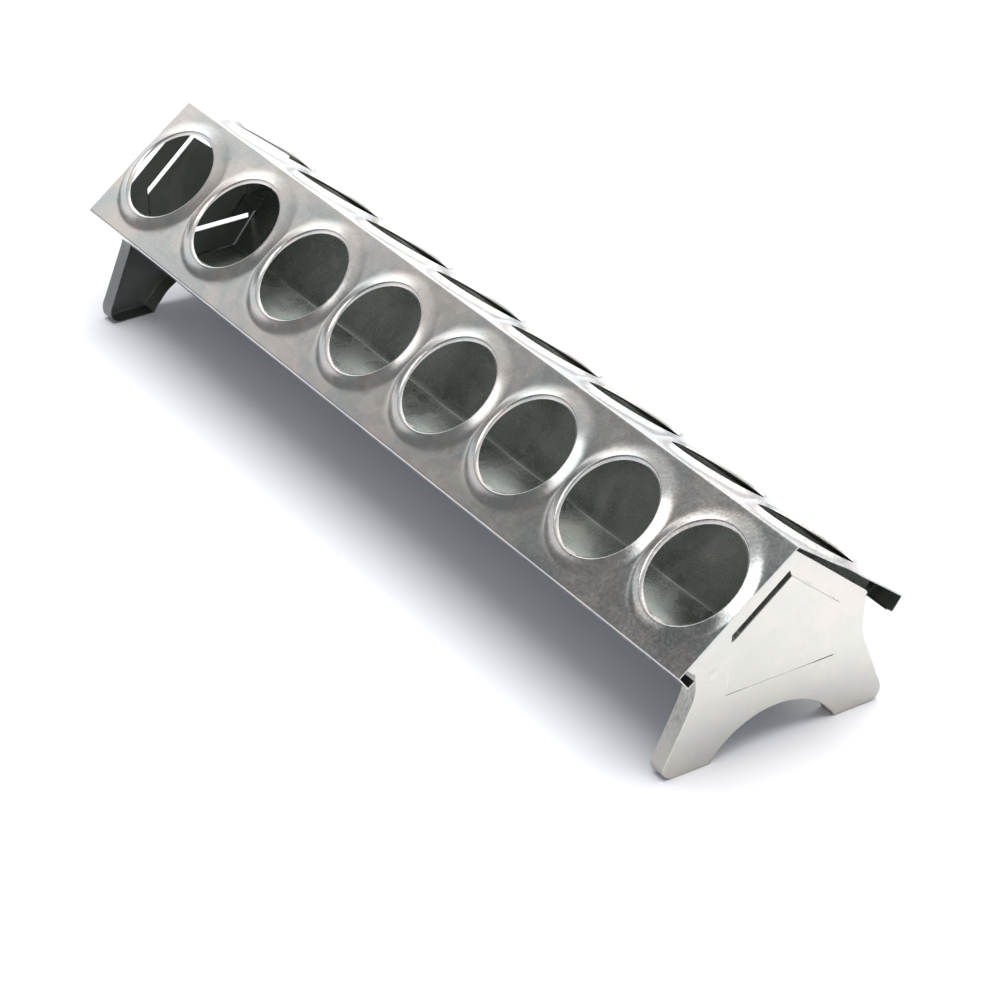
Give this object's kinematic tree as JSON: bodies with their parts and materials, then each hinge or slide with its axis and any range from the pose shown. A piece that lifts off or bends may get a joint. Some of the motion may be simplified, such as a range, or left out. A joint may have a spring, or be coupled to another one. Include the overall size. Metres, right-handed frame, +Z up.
{
  "type": "chick feeder",
  "caption": "Long galvanised sheet feeder: V trough on pressed end plates with arched feet, under a sliding gable cover with rows of raised-rim round feeding holes.",
  "frame": {"origin": "on the ground, in the middle under the feeder", "axes": "+X along the trough towards the end nearest the camera, +Y across, +Z up"},
  "size_m": [0.5, 0.1192, 0.103],
  "materials": {
    "cover": "satin galvanised",
    "trough": "satin galvanised",
    "end_plate_near": "satin galvanised",
    "end_plate_far": "satin galvanised"
  },
  "bodies": {
    "base": {"trough": "trough", "end_plate_near": "end_plate_near", "end_plate_far": "end_plate_far"},
    "cover": {"cover": "cover"}
  },
  "joints": [
    {"name": "cover_slide", "type": "slide", "parent": "base", "child": "cover", "axis": [1, 0, 0], "range_m": [-0.45, 0.45]}
  ]
}
